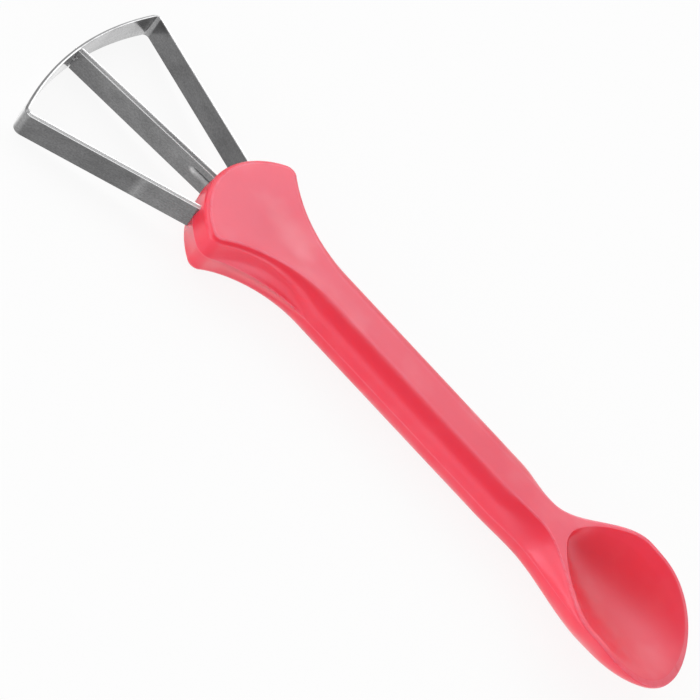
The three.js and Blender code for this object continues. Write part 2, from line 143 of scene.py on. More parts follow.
class HandleSizes(bpy.types.PropertyGroup):
    """Sizes of the moulded handle."""

    head_bend: angle("Head bend", "How far the head leans down from the grip", 4.5)
    bend_span: length("Bend span", "Half of the length over which the head leans", 10.0)
    head_front: length("Head front", "From the bend to the front of the head", 14.4)
    front_radius: length("Front radius", "Radius of the round front wall", 28.0)
    corner_radius: length("Corner radius", "Radius of the two corners of the head", 3.8)
    head_edge: length("Head edge", "Rounding of the upper edge of the head", 1.7)
    head_lower_edge: length("Head lower edge", "Rounding of the lower edge of the head", 2.0)
    head_draft: length("Head draft", "Slope of the wall of the head", 0.4)
    head_drop: length("Head drop", "Fall of the upper face from the grip to the head", 0.2)
    head_sag: length("Head sag", "Fall of the underside from the grip to the head", 0.5)
    dish_depth: length("Dish depth", "Depth of the thumb dish", 0.6)
    flat_growth: share("Flat growth", "Power by which the flats draw in along the flare", 0.9)
    edge_growth: share("Edge growth", "Power by which the edge rounding grows along the flare", 2.5)
    flare_length: length("Flare length", "From the bend to the straight grip", 29.9)
    flare_radius: length("Flare radius", "Radius of the hollow flare", 43.0)
    grip_width: length("Grip width", "Width of the grip", 20.9)
    grip_length: length("Grip length", "Length of the straight grip", 69.9)
    grip_edge: length("Grip edge", "Rounding of the edges of the grip", 6.0)
    thickness: length("Handle thickness", "Thickness of the grip and head", 13.4)
    neck_length: length("Neck length", "From the straight grip to the neck", 13.2)
    neck_width: length("Neck width", "Width of the neck", 19.3)
    scoop_flare: length("Scoop flare", "From the neck to the full width of the scoop", 28.9)
    scoop_width: length("Scoop width", "Full width of the scoop", 45.6)
    scoop_parallel: length("Scoop parallel", "Length of the scoop at its full width", 6.1)
    scoop_nose: length("Scoop nose", "Length of the round nose", 22.4)
    rim_rise: length("Rim rise", "Height of the rim's arch over the grip", 1.5)
    tip_drop: length("Tip drop", "Fall of the rim from its highest line to the tip", 6.2)
    belly_rise: length("Belly rise", "Height of the scoop's belly over the underside of the grip", 0.5)
    rim_edge: length("Rim edge", "Rounding of the outer edge of the rim", 0.4)
    rim_width: length("Rim width", "Width of the rim", 2.35)
    floor_thickness: length("Floor thickness", "Thickness of the scoop's floor", 7.8)
    bowl_setback: length("Bowl setback", "From the neck to the heel of the bowl", 8.6)
    bowl_heel: length("Bowl heel", "Length of the rounded heel", 7.5)
    heel_fullness: share("Heel fullness", "Power of the heel's curve in plan", 2.3)
    floor_fullness: share("Floor fullness", "Power of the floor's curve behind its lowest line", 2.2)
    ridge_angle: angle("Ridge angle", "Turn of the flank at the ridge of the scoop", 66.0)
    flank_slack: angle("Flank slack", "How far the flank of the neck leans in at the parting line", 42.0)
    ridge_soft: length("Ridge softness", "Rounding of the ridge", 0.55)
    lip_width: length("Lip width", "Part of the rim that the rounding of its inner edge takes", 0.8)
    lip_run: length("Lip run", "How far the rounding of the rim's inner edge runs into the bowl", 3.5)
    seam_width: length("Seam width", "Half of the width of the parting line's ridge", 0.26)
    seam_proud: length("Seam proud", "Height of the parting line's ridge", 0.06)


class Finishes(bpy.types.PropertyGroup):
    """Colours of the materials and levels of the studio light."""

    plastic: colour("Plastic", "Red of the translucent plastic", 0.95, 0.032, 0.070)
    plastic_deep: colour("Plastic, deep", "Red where the dye of the plastic is dense", 0.91, 0.026, 0.058)
    # Painted shade: a deeper red at the bottom of the bowl
    plastic_painted_shade: colour("Plastic, hollow", "Deeper red at the bottom of the bowl", 0.84, 0.010, 0.024)
    # Paler red: partly wear, partly painted highlight on edges and painted glow of light through the thin
    # rim
    plastic_wear_and_light: colour("Plastic, worn", "Paler red on rubbed edges and the parting line", 1.0, 0.14, 0.2)
    thumb_place: FloatVectorProperty(
        name="Thumb place", description="Middle of the haze where thumbs rub",
        default=(-0.041, 0.003, 0.0152), size=3, subtype="XYZ", unit="LENGTH",
    )
    # The rolled face is kept dark as painted shade, the paler face is painted reflection, and the ground
    # colour is partly ground steel and partly painted highlight
    steel: colour("Steel", "Rolled face of the strip", 0.148, 0.148, 0.15)
    steel_painted_reflection: colour("Steel, painted_bright", "Paler face where the strip was painted_bright", 0.86, 0.86, 0.865)
    steel_ground_and_highlight: colour("Steel, ground", "Ground lines and cut edges of the strip", 0.88, 0.88, 0.885)
    paper: colour("Paper", "Floor of the studio", 0.98, 0.98, 0.98)
    horizon_level: share("Horizon level", "Radiance of the studio behind the object", 0.9)
    overhead_level: share("Overhead level", "Radiance of the dim ceiling", 0.34)
    window_level: share("Window level", "Radiance of the soft window behind the object", 2.6)
    front_level: share("Front level", "Radiance of the soft light in front of the object", 1.2)
    left_level: share("Left level", "Radiance of the raised light on the side of the fan", 2.2)
    right_level: share("Right level", "Radiance of the front corner on the side of the scoop", 1.5)
    corner_level: share("Corner level", "Extra radiance low in the front corner on the side of the fan", 3.2)


class Sizes:
    """Lengths along the handle and other sizes that follow from the property groups.

    The working frame has X along the grip towards the scoop, Z square to the grip's flat, and its origin
    where the middle plane of the fan meets the axis of the grip. The part's frame is that frame,
    shifted."""

    def __init__(self, scene):
        fan = scene.melon_fan
        handle = scene.melon_handle
        self.fan = fan
        self.handle = handle
        self.half_thick = handle.thickness / 2
        self.grip_half = handle.grip_width / 2
        self.grip_edge = min(handle.grip_edge, self.half_thick)
        self.grip_flat = self.grip_half - self.grip_edge
        self.grip_end = handle.flare_length + handle.grip_length
        self.neck_x = self.grip_end + handle.neck_length
        self.wide_x = self.neck_x + handle.scoop_flare
        self.nose_x = self.wide_x + handle.scoop_parallel
        self.tip_x = self.nose_x + handle.scoop_nose
        self.bowl_start = self.neck_x + handle.bowl_setback
        self.bowl_end = self.tip_x - handle.rim_width
        self.rim_peak = self.half_thick + handle.rim_rise
        self.scoop_half = handle.scoop_width / 2
        self.scoop_depth = self.rim_peak + self.half_thick - handle.belly_rise
        self.front_x = handle.front_radius - handle.head_front
        self.half_angle = fan.fan_angle / 2
        self.chord_x = -(handle.head_front + fan.fan_reach)
        self.arc_front = self.chord_x - fan.arc_rise
        fan_half = fan.fan_width / 2
        self.arc_radius = (fan_half**2 + fan.arc_rise**2) / (2 * fan.arc_rise)
        self.arc_x = self.arc_front + self.arc_radius
        sine, cosine = math.sin(handle.head_bend), math.cos(handle.head_bend)
        lowest = self.arc_front * sine - fan.strip_width / 2 * cosine
        end_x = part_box("handle")[1].x
        floor_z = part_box("outer_blade")[0].z
        self.shift = np.array([end_x - self.tip_x, 0.0, floor_z - lowest])

    def leaned(self, points, turn):
        """Points turned about the bend by the given angle, towards -Z on the side of the fan."""
        x, y, z = np.moveaxis(points, -1, 0)
        return np.stack([x * np.cos(turn) - z * np.sin(turn), y, x * np.sin(turn) + z * np.cos(turn)], -1)

    def fan_to_part(self, points):
        """Points of the fan's own plane, in the part's frame."""
        return self.leaned(points, self.handle.head_bend) + self.shift


def mix(a, b, t):
    """Straight blend from a to b."""
    return a + (b - a) * t


def ramp(x, low, high):
    """Smooth step: 0 up to low, 1 from high on, and a cubic between."""
    t = np.clip((x - low) / (high - low), 0.0, 1.0)
    return t * t * (3 - 2 * t)


def grid_faces(rows, columns, ring):
    """Index quads of a grid of rows by columns. A ring also joins the last column to the first."""
    step = np.arange(columns if ring else columns - 1)
    a = np.arange(rows - 1)[:, None] * columns + step[None, :]
    b = np.arange(rows - 1)[:, None] * columns + (step[None, :] + 1) % columns
    return np.stack([a, b, b + columns, a + columns], -1)


def make_piece(name, points, quads, attributes, material, smooth_angle):
    """A closed mesh from points and index quads. Points that fall together are merged, quads that lose a
    corner become triangles, those that lose two are dropped, and the faces are turned outwards."""
    used, numbers = np.unique(quads, return_inverse=True)
    flat = points.reshape(-1, 3)[used]
    cells = np.round(flat / MERGE_DISTANCE).astype(np.int64)
    first, merged = np.unique(cells, axis=0, return_index=True, return_inverse=True)[1:]
    corners = merged.reshape(-1)[numbers.reshape(-1, 4)]
    fresh = corners != np.roll(corners, 1, axis=1)
    count = fresh.sum(1)
    whole = corners[count == 4]
    whole = whole[(whole[:, 0] != whole[:, 2]) & (whole[:, 1] != whole[:, 3])]
    cut = corners[count == 3][fresh[count == 3]].reshape(-1, 3)
    mesh = bpy.data.meshes.new(name)
    mesh.from_pydata(flat[first].tolist(), [], whole.tolist() + cut.tolist())
    for key, values in attributes.items():
        layer = mesh.attributes.new(key, "FLOAT", "POINT")
        layer.data.foreach_set("value", values.reshape(-1)[used][first].astype(np.float32))
    shell = bmesh.new()
    shell.from_mesh(mesh)
    bmesh.ops.recalc_face_normals(shell, faces=shell.faces)
    shell.to_mesh(mesh)
    shell.free()
    mesh.polygons.foreach_set("use_smooth", np.ones(len(mesh.polygons), bool))
    mesh.set_sharp_from_angle(angle=smooth_angle)
    mesh.materials.append(material)
    piece = bpy.data.objects.new(name, mesh)
    bpy.context.scene.collection.objects.link(piece)
    return piece


def soften(piece, width):
    """A narrow two-step bevel on the sharp edges of a steel piece."""
    bevel = piece.modifiers.new("edge_round", "BEVEL")
    bevel.width = width
    bevel.segments = 2
    bevel.limit_method = "ANGLE"
    bevel.angle_limit = BEVEL_ANGLE


class Wire:
    """A value in a node tree. Operators on it add Math nodes."""

    def __init__(self, finish, socket):
        self.finish = finish
        self.socket = socket

    def maths(self, operation, first, second):
        """A Math node with two values or wires."""
        return self.finish.node("ShaderNodeMath", {"operation": operation}, {0: first, 1: second})

    def __add__(self, other):
        return self.maths("ADD", self, other)

    def __radd__(self, other):
        return self.maths("ADD", other, self)

    def __sub__(self, other):
        return self.maths("SUBTRACT", self, other)

    def __rsub__(self, other):
        return self.maths("SUBTRACT", other, self)

    def __mul__(self, other):
        return self.maths("MULTIPLY", self, other)

    def __rmul__(self, other):
        return self.maths("MULTIPLY", other, self)


class Finish:
    """A node tree that is emptied and then filled by node()."""

    def __init__(self, tree):
        self.tree = tree
        tree.nodes.clear()

    def node(self, kind, settings=None, inputs=None, output=0):
        """One node: its settings first, then the values or wires of its sockets. Gives the named output."""
        made = self.tree.nodes.new(kind)
        for key, value in (settings or {}).items():
            setattr(made, key, value)
        for key, value in (inputs or {}).items():
            socket = made.inputs[key]
            if isinstance(value, Wire):
                self.tree.links.new(value.socket, socket)
            else:
                socket.default_value = value
        return Wire(self, made.outputs[output]) if len(made.outputs) else made

    def band(self, value, low, high):
        """A smooth step of a value: 0 at low and 1 at high, where high may be the smaller of the two."""
        settings = {"interpolation_type": "SMOOTHSTEP"}
        inputs = {"Value": value, "From Min": low, "From Max": high}
        return self.node("ShaderNodeMapRange", settings, inputs)

    def blend(self, factor, first, second):
        """A blend of two colours."""
        settings = {"data_type": "RGBA"}
        return self.node("ShaderNodeMix", settings, {0: factor, 6: first, 7: second}, 2)

    def noise(self, vector, scale, detail, roughness):
        """Fractal noise from 0 to 1 on the given coordinates."""
        inputs = {"Vector": vector, "Scale": scale, "Detail": detail, "Roughness": roughness}
        return self.node("ShaderNodeTexNoise", {}, inputs)

    def stretched(self, vector, x, y, z):
        """Coordinates multiplied along each axis."""
        settings = {"vector_type": "POINT"}
        return self.node("ShaderNodeMapping", settings, {"Vector": vector, "Scale": (x, y, z)})

    def streaks(self, vector, stretch, detail, roughness):
        """Fractal noise that is drawn out along the axes with the smaller numbers."""
        return self.noise(self.stretched(vector, *stretch), 1.0, detail, roughness)

    def axis(self, vector, name):
        """One axis of a vector."""
        return self.node("ShaderNodeSeparateXYZ", {}, {0: vector}, name)

    def attribute(self, name):
        """A number that the piece's mesh holds at its points."""
        return self.node("ShaderNodeAttribute", {"attribute_name": name}, {}, "Fac")

    def bump(self, height, strength, distance):
        """A normal that leans with the slope of a height."""
        inputs = {"Height": height, "Strength": strength, "Distance": distance}
        return self.node("ShaderNodeBump", {}, inputs)


def opaque(values):
    """A colour with full alpha."""
    return (*values, 1.0)


def new_finish(name):
    """A new material and its emptied node tree."""
    material = bpy.data.materials.new(name)
    material.use_nodes = True
    return material, Finish(material.node_tree)


def plastic_finish(colours):
    """Glossy red moulding: dye clouds, faint flow lines along the grip, a fine orange-peel skin, fine
    rubbing marks, a mottled haze that is strongest where thumbs rub, a paler red on the edges, the rim and
    the parting line that is partly wear and partly painted highlight and painted glow of light through the
    thin rim, and painted shade as a deeper red at the bottom of the bowl. The mesh says where the paler red
    goes and how deep the bowl is there."""
    material, make = new_finish("red_translucent_plastic")
    place = make.node("ShaderNodeTexCoord", {}, {}, "Object")
    cloud = make.noise(place, scale=38.0, detail=3.0, roughness=0.5)
    flow = make.streaks(place, (14.0, 160.0, 160.0), detail=4.0, roughness=0.6)
    skin = make.noise(place, scale=520.0, detail=2.0, roughness=0.5)
    marks = make.streaks(place, (260.0, 1500.0, 1500.0), detail=3.0, roughness=0.7)
    mottle = make.noise(place, scale=75.0, detail=2.0, roughness=0.5)
    # Paler red where the mesh asks, patchy with the rubbing marks: partly wear, partly painted highlight and
    # glow
    wear_and_painted_light = make.attribute("wear_and_painted_light") * make.band(marks, 0.20, 0.55)
    dye = make.band(cloud, 0.32, 0.70) * 0.7 + make.band(flow, 0.35, 0.7) * 0.3
    body = make.blend(dye, opaque(colours.plastic_deep), opaque(colours.plastic))
    # Painted shade: the base colour turns a deeper red towards the bottom of the bowl
    body = make.blend(make.attribute("hollow") * 0.9, body, opaque(colours.plastic_painted_shade))
    shade = make.blend(wear_and_painted_light * 0.8, body, opaque(colours.plastic_wear_and_light))
    thumb = tuple(colours.thumb_place)
    offset = make.node("ShaderNodeVectorMath", {"operation": "SUBTRACT"}, {0: place, 1: thumb})
    offset = make.stretched(offset, 80.0, 110.0, 60.0)
    distance = make.node("ShaderNodeVectorMath", {"operation": "LENGTH"}, {0: offset}, "Value")
    haze = make.band(distance + cloud * 0.6, 1.2, 0.3) * 0.8 + make.band(mottle, 0.45, 0.72) * 0.45
    surface = make.node("ShaderNodeBsdfPrincipled", {"subsurface_method": "RANDOM_WALK"}, {
        "Base Color": shade,
        "Roughness": 0.28 + cloud * 0.05 + wear_and_painted_light * 0.05,
        "IOR": 1.5,
        "Specular IOR Level": 1.0,
        "Specular Tint": (0.76, 0.81, 1.0, 1.0),
        "Coat Weight": haze,
        "Coat Roughness": 0.3,
        "Subsurface Weight": 0.85,
        "Subsurface Radius": (1.0, 0.22, 0.2),
        "Subsurface Scale": 0.006,
        "Normal": make.bump(skin * 0.6 + flow * 0.4, strength=0.10, distance=0.0004),
    })
    make.node("ShaderNodeOutputMaterial", {}, {"Surface": surface})
    return material


def steel_finish(name, colours):
    """Rolled stainless strip: streaks along the strip, soft handling smudges, a fine grain, paler stretches
    of painted reflection on a rolled face that is kept dark as painted shade, and bright ground lines with
    grinding marks across them, which are partly ground steel and partly painted highlight. The mesh gives
    the distance along the strip, the height on it, the depth in it, the share of painted reflection and
    where it is ground."""
    material, make = new_finish(name)
    ground = make.band(make.attribute("ground"), 0.5, 1.0)
    axes = {"X": "along", "Y": "across", "Z": "side"}
    sockets = {axis: make.attribute(key) for axis, key in axes.items()}
    strip = make.node("ShaderNodeCombineXYZ", {}, sockets)
    streak = make.streaks(strip, (30.0, 5200.0, 300.0), detail=5.0, roughness=0.65)
    hair = make.streaks(strip, (220.0, 9000.0, 300.0), detail=2.0, roughness=0.6)
    smudge = make.streaks(strip, (90.0, 170.0, 300.0), detail=3.0, roughness=0.55)
    marks = make.streaks(strip, (6500.0, 500.0, 300.0), detail=3.0, roughness=0.6)
    grain = make.streaks(strip, (1500.0, 2600.0, 300.0), detail=2.0, roughness=0.7)
    tone = make.band(streak, 0.25, 0.75) * 0.35 + make.band(smudge, 0.3, 0.72) * 0.5
    shading = 0.62 + tone * 0.5 + make.band(grain, 0.3, 0.7) * 0.32
    # Painted reflection: paler stretches blend the dark face, itself painted shade, towards pale steel
    face = make.blend(make.attribute("painted_reflection"), opaque(colours.steel), opaque(colours.steel_painted_reflection))
    face = make.node("ShaderNodeVectorMath", {"operation": "SCALE"}, {0: face, "Scale": shading})
    height = streak * 0.5 + hair * 0.3 + marks * ground * 0.7
    # Ground lines and cut edges: partly the colour of ground steel and partly painted highlight
    surface = make.node("ShaderNodeBsdfPrincipled", {}, {
        "Base Color": make.blend(ground, face, opaque(colours.steel_ground_and_highlight)),
        "Metallic": 1.0,
        "Roughness": 0.14 + tone * 0.06 + hair * 0.04 + ground * 0.28,
        "Normal": make.bump(height, strength=0.12, distance=0.00012),
    })
    make.node("ShaderNodeOutputMaterial", {}, {"Surface": surface})
    return material


def paper_finish(colours):
    """Plain pale floor. Seen by the camera, or in metal or glass, nine tenths of it are plain white, and
    the rest is lit paper that keeps the shadow."""
    material, make = new_finish("pale_paper_floor")
    white_share = 0.9
    kinds = ("Is Camera Ray", "Is Glossy Ray", "Is Transmission Ray")
    camera, glossy, through = (make.node("ShaderNodeLightPath", {}, {}, kind) for kind in kinds)
    seen = make.node("ShaderNodeMath", {"operation": "MINIMUM"}, {0: camera + glossy + through, 1: 1.0})
    paper = make.node("ShaderNodeBsdfDiffuse", {}, {"Color": opaque(colours.paper)})
    white = make.node("ShaderNodeEmission", {}, {"Color": (1.0, 1.0, 1.0, 1.0), "Strength": 1.0})
    surface = make.node("ShaderNodeMixShader", {}, {0: seen * white_share, 1: paper, 2: white})
    make.node("ShaderNodeOutputMaterial", {}, {"Surface": surface})
    return material


def leg_point(sizes, distance, offset):
    """Plan point of the +Y leg at a distance from the sharp corner and an offset to the outside."""
    turn = sizes.half_angle
    x = sizes.chord_x + math.cos(turn) * distance + math.sin(turn) * offset
    y = sizes.fan.fan_width / 2 - math.sin(turn) * distance + math.cos(turn) * offset
    return np.array([x, y])


def to_circle(sizes, start, centre_x, radius):
    """Distance from a plan point, along the leg, to the near side of a circle on the middle line."""
    along = np.array([math.cos(sizes.half_angle), -math.sin(sizes.half_angle)])
    begin = start - np.array([centre_x, 0.0])
    b = float(begin @ along)
    return -b - math.sqrt(b * b - float(begin @ begin) + radius**2)


def outer_path(sizes):
    """Middle line of the outer strip, tang to tang: leg, bend, arc, bend and leg. Gives the plan points,
    the outward directions, the distance along the line and the share of the bend that each point has behind
    it."""
    fan = sizes.fan
    middle = fan.strip_thickness / 2
    bend = fan.bend_radius + middle
    arc = sizes.arc_radius - middle
    inset = -(middle + bend)
    pivot_run = to_circle(sizes, leg_point(sizes, 0.0, inset), sizes.arc_x, arc - bend)
    pivot = leg_point(sizes, pivot_run, inset)
    entry = to_circle(sizes, leg_point(sizes, 0.0, -middle), sizes.front_x, sizes.handle.front_radius)
    leg_turn = math.pi / 2 - sizes.half_angle
    arc_turn = math.atan2(pivot[1], pivot[0] - sizes.arc_x)
    slot_turn = math.pi - (middle + fan.tongue_gap) / arc
    bend_turns = np.linspace(leg_turn, arc_turn, BEND_STEPS)
    arc_turns = np.concatenate([np.linspace(arc_turn, slot_turn, ARC_STEPS)[1:], [math.pi]])
    tang = leg_point(sizes, entry + fan.leg_tang, -middle)
    bend_out = np.stack([np.cos(bend_turns), np.sin(bend_turns)], 1)
    arc_out = np.stack([np.cos(arc_turns), np.sin(arc_turns)], 1)
    leg = mix(tang, pivot + bend * bend_out[0], np.linspace(0, 1, LEG_STEPS, endpoint=False)[:, None])
    leg_out = np.tile(bend_out[0], (LEG_STEPS, 1))
    at = np.concatenate([leg, pivot + bend * bend_out, [sizes.arc_x, 0.0] + arc * arc_out])
    out = np.concatenate([leg_out, bend_out, arc_out])
    flip = np.array([1.0, -1.0])
    at = np.concatenate([at, at[-2::-1] * flip])
    out = np.concatenate([out, out[-2::-1] * flip])
    along = np.concatenate([[0.0], np.cumsum(np.hypot(*np.diff(at, axis=0).T))])
    bent = np.concatenate([np.zeros(LEG_STEPS), np.linspace(0, 1, BEND_STEPS), np.ones(len(arc_turns))])
    return at, out, along, np.concatenate([bent, bent[-2::-1]])


def strip_painted_reflection(sizes, at, bent):
    """Share of painted reflection along the outer strip. The near leg turns paler at a bright line of
    painted reflection, a narrow bell curve, on its way to the head. The far leg fades towards the head, and
    both bends lead into the paler arc, whose near half takes the most painted reflection."""
    near = at[:, 1] < 0
    to_head = np.clip((at[:, 0] - sizes.chord_x) / sizes.fan.fan_reach, 0, 1)
    # Painted reflection: a bright line across the near leg
    bright_line = np.exp(-(((to_head - 0.74) / 0.014) ** 2))
    near_leg = 0.03 + 0.07 * ramp(to_head, 0.70, 0.76) + 0.13 * bright_line
    far_leg = 0.04 * (1 - to_head)
    arc = mix(0.22, np.where(near, 0.9, 0.44), ramp(bent, 0.5, 1.0))
    return mix(np.where(near, near_leg, far_leg), arc, ramp(bent, 0.0, 0.35))


def outer_blade_mesh(sizes):
    """Section of the strip carried along its middle line. A section point is an offset to the outside and a
    height; the upper edge is chamfered on its outer face. A window in the middle of the arc is left open
    for the tongue, and four walls close it."""
    fan = sizes.fan
    half = fan.strip_width / 2
    middle = fan.strip_thickness / 2
    slot = fan.tongue_width / 2 + fan.tongue_gap
    chamfer = fan.edge_chamfer
    section = np.array([
        (-middle, -half), (middle, -half), (middle, -slot), (middle, slot), (middle, half - chamfer),
        (middle - chamfer, half), (-middle, half), (-middle, slot), (-middle, -slot)])
    cut_edge_and_highlight = np.array([0, 0, 0, 0, 1, 1, 1, 0, 0])
    at_chamfer = np.array([0, 0, 0, 0, 1, 1, 0, 0, 0])
    at, out, along, bent = outer_path(sizes)
    plan = at[:, None, :] + out[:, None, :] * section[None, :, :1]
    height = np.broadcast_to(section[None, :, 1], plan.shape[:2])
    points = sizes.fan_to_part(np.concatenate([plan, height[..., None]], -1))
    stations, columns = height.shape
    index = np.arange(stations * columns).reshape(stations, columns)
    faces = grid_faces(stations, columns, True)
    centre = stations // 2
    keep = np.ones(faces.shape[:2], bool)
    window = np.ix_([centre - 1, centre], [2, 7])
    keep[window] = False
    runs = [centre - 1, centre, centre + 1]
    first, last = runs[:-1], runs[1:]
    walls = [
        np.stack([index[first, a], index[last, a], index[last, b], index[first, b]], -1)
        for a, b in ((2, 8), (3, 7))
    ]
    sides = index[np.ix_([runs[0], runs[-1]], [2, 3, 7, 8])]
    cap_corners = np.array([(0, 1, 2, 8), (2, 3, 7, 8), (3, 4, 6, 7), (4, 5, 6, 6)])
    caps = np.concatenate([index[0][cap_corners], index[-1][cap_corners]])
    quads = np.concatenate([faces[keep], *walls, sides, caps])
    on_arc = ramp(bent, 0.2, 0.6)[:, None]
    attributes = {
        "along": np.broadcast_to(along[:, None], height.shape),
        "across": height,
        "side": np.broadcast_to(section[None, :, 0], height.shape),
        # Cut and chamfered upper edges: partly ground steel and partly painted highlight, less on the arc
        "ground": cut_edge_and_highlight * (1 - 0.7 * on_arc),
        "painted_reflection": mix(strip_painted_reflection(sizes, at, bent)[:, None], 0.1, at_chamfer * on_arc),
    }
    return points, quads, attributes


def rib_rise(sizes, x, z):
    """Height of the pressed rib: a smooth mound across its width that runs out in a long round nose."""
    fan = sizes.fan
    nose = -sizes.handle.head_front - fan.rib_visible + fan.rib_width
    reach = np.maximum(0.0, nose - x) / fan.rib_width
    spread = np.minimum(1.0, np.sqrt((z / (RIB_SPREAD * fan.rib_width)) ** 2 + reach**2))
    return fan.rib_height * (1 - spread**2) ** 1.5


def centre_blade_mesh(sizes):
    """Two sheets over one grid of places along and up the blade, joined by walls where the grid ends. The
    near sheet stands out at the rib and the far sheet follows it. Cells beside the tongue are left out."""
    fan = sizes.fan
    tongue_end = sizes.arc_front - fan.tongue_proud
    shoulder = sizes.arc_front + fan.strip_thickness + fan.tongue_gap
    root = -sizes.handle.head_front
    rib_start = root - fan.rib_visible - fan.rib_width
    x = np.concatenate([
        np.linspace(tongue_end, shoulder, TONGUE_STEPS, endpoint=False),
        np.linspace(shoulder, rib_start, BLADE_STEPS, endpoint=False),
        np.linspace(rib_start, root, RIB_STEPS, endpoint=False),
        np.linspace(root, root + fan.centre_tang, TANG_STEPS + 1)])
    to_root = np.clip((x - shoulder) / (root - shoulder), 0, 1)[:, None]
    width = mix(fan.centre_outer_width, fan.centre_root_width, to_root)
    notch = (fan.centre_outer_width - fan.tongue_width) / 2
    low, high = -width / 2, width / 2
    ground_line = high - fan.grind_height
    z = np.concatenate([
        mix(low, low + notch, np.linspace(0, 1, NOTCH_STEPS, endpoint=False)),
        mix(low + notch, ground_line, np.linspace(0, 1, FACE_STEPS, endpoint=False)),
        ground_line,
        mix(high - notch, high, np.linspace(0, 1, EDGE_STEPS + 1))], 1)
    places = np.broadcast_to(x[:, None], z.shape)
    half = fan.strip_thickness / 2
    ground = np.clip((z - ground_line) / fan.grind_height, 0, 1)
    inset = fan.grind_depth * ground
    rise = rib_rise(sizes, places, z)
    near = np.stack([places, inset - half - rise, z], -1)
    far = np.stack([places, half - inset - rise, z], -1)
    points = sizes.fan_to_part(np.stack([near, far]))
    stations, rows = z.shape
    cells = grid_faces(stations, rows, False)
    keep = np.ones(cells.shape[:2], bool)
    keep[:TONGUE_STEPS, :NOTCH_STEPS] = False
    keep[:TONGUE_STEPS, -EDGE_STEPS:] = False
    framed = np.pad(keep, 1)
    index = np.arange(stations * rows).reshape(stations, rows)
    shift = stations * rows
    run, row = np.nonzero(framed[1:, 1:-1] != framed[:-1, 1:-1])
    end_walls = index[run, row], index[run, row + 1]
    run, row = np.nonzero(framed[1:-1, 1:] != framed[1:-1, :-1])
    edge_walls = index[run, row], index[run + 1, row]
    walls = [
        np.stack([first, second, second + shift, first + shift], -1)
        for first, second in (end_walls, edge_walls)
    ]
    quads = np.concatenate([cells[keep], cells[keep] + shift, *walls])
    # Ground band of the centre blade: its two edge lines are painted white highlight, and the band between
    # them is painted paler, partly ground steel
    on_line = (np.abs(z - ground_line) < GROUND_LINE_HALF * MM) | (ground > 0.99)
    shine = np.where(on_line, 1.0, np.where(ground > 0, 0.72, 0.0))
    # Painted reflection: the faces turn paler towards the root, and the rib takes a painted glint near its
    # nose
    glint = np.exp(-(((places - rib_start) / (1.4 * fan.rib_width) - 1) ** 2))
    painted_reflection = mix(0.07, 0.12, to_root) + (0.15 + 0.35 * glint) * rise / fan.rib_height
    attributes = {
        "along": np.stack([places, places]),
        "across": np.stack([z, z]),
        "side": np.stack([near[..., 1], far[..., 1]]),
        "ground": np.stack([shine, shine]),
        "painted_reflection": np.stack([painted_reflection, painted_reflection]),
    }
    return points, quads, attributes


def bead_mesh(sizes):
    """Two small weld beads in the corner between the centre blade and the arc: squashed balls given by
    latitude and longitude, half sunk in the steel."""
    fan = sizes.fan
    corner = sizes.arc_front + fan.strip_thickness + 0.3 * fan.tongue_gap
    face = -fan.strip_thickness / 2
    centres = np.array([(corner, face, -0.25 * MM), (corner + 0.5 * MM, face, 0.75 * MM)])
    radii = np.array([(0.5, 0.36, 0.62), (0.42, 0.28, 0.45)]) * MM
    latitude = np.linspace(-math.pi / 2, math.pi / 2, BEAD_ROWS)[:, None]
    longitude = np.linspace(0, 2 * math.pi, BEAD_COLUMNS, endpoint=False)[None, :]
    ball = np.stack([
        np.cos(latitude) * np.cos(longitude),
        np.cos(latitude) * np.sin(longitude),
        np.sin(latitude) * np.ones_like(longitude)], -1)
    points = centres[:, None, None, :] + radii[:, None, None, :] * ball
    faces = grid_faces(BEAD_ROWS, BEAD_COLUMNS, True).reshape(-1, 4)
    quads = np.concatenate([faces, faces + BEAD_ROWS * BEAD_COLUMNS])
    level = np.ones(points.shape[:3])
    attributes = {
        "along": points[..., 0],
        "across": points[..., 2],
        "side": points[..., 1],
        "ground": 0 * level,
        # A little painted reflection on the beads
        "painted_reflection": 0.25 * level,
    }
    return sizes.fan_to_part(points), quads, attributes


def head_plan(sizes):
    """Plan of the head and flare on the +Y side: a round front, a small corner arc that touches both
    neighbours, and a hollow flare. Gives points on the parting line, inward directions and where the corner
    ends."""
    handle = sizes.handle
    front = np.array([sizes.front_x, 0.0])
    flare = np.array([handle.flare_length, sizes.grip_half + handle.flare_radius])
    span = np.hypot(*(flare - front))
    near = handle.front_radius - handle.corner_radius
    far = handle.flare_radius + handle.corner_radius
    along = (near**2 - far**2 + span**2) / (2 * span)
    across = math.sqrt(near**2 - along**2)
    unit = (flare - front) / span
    corner = front + unit * along + np.array([-unit[1], unit[0]]) * across
    corner_turn = math.atan2(*(corner - front)[::-1])
    flare_turn = math.atan2(*(corner - flare)[::-1])
    arcs = (
        (front, handle.front_radius, np.linspace(math.pi, corner_turn, FRONT_STEPS), 1),
        (corner, handle.corner_radius, np.linspace(corner_turn, flare_turn + math.pi, CORNER_STEPS)[1:], 1),
        (flare, handle.flare_radius, np.linspace(flare_turn, -math.pi / 2, FLARE_STEPS)[1:], -1),
    )
    at = []
    inward = []
    for centre, radius, turns, solid_side in arcs:
        out = np.stack([np.cos(turns), np.sin(turns)], 1)
        at.append(centre + radius * out)
        inward.append(-solid_side * out)
    return np.concatenate(at), np.concatenate(inward), at[1][-1, 0]


def rounded(part, fullness):
    """A quarter of a rounded-square curve: 0 at 0, and level at 1 from 1 on."""
    return (1 - (1 - np.clip(part, 0, 1)) ** fullness) ** (1 / fullness)


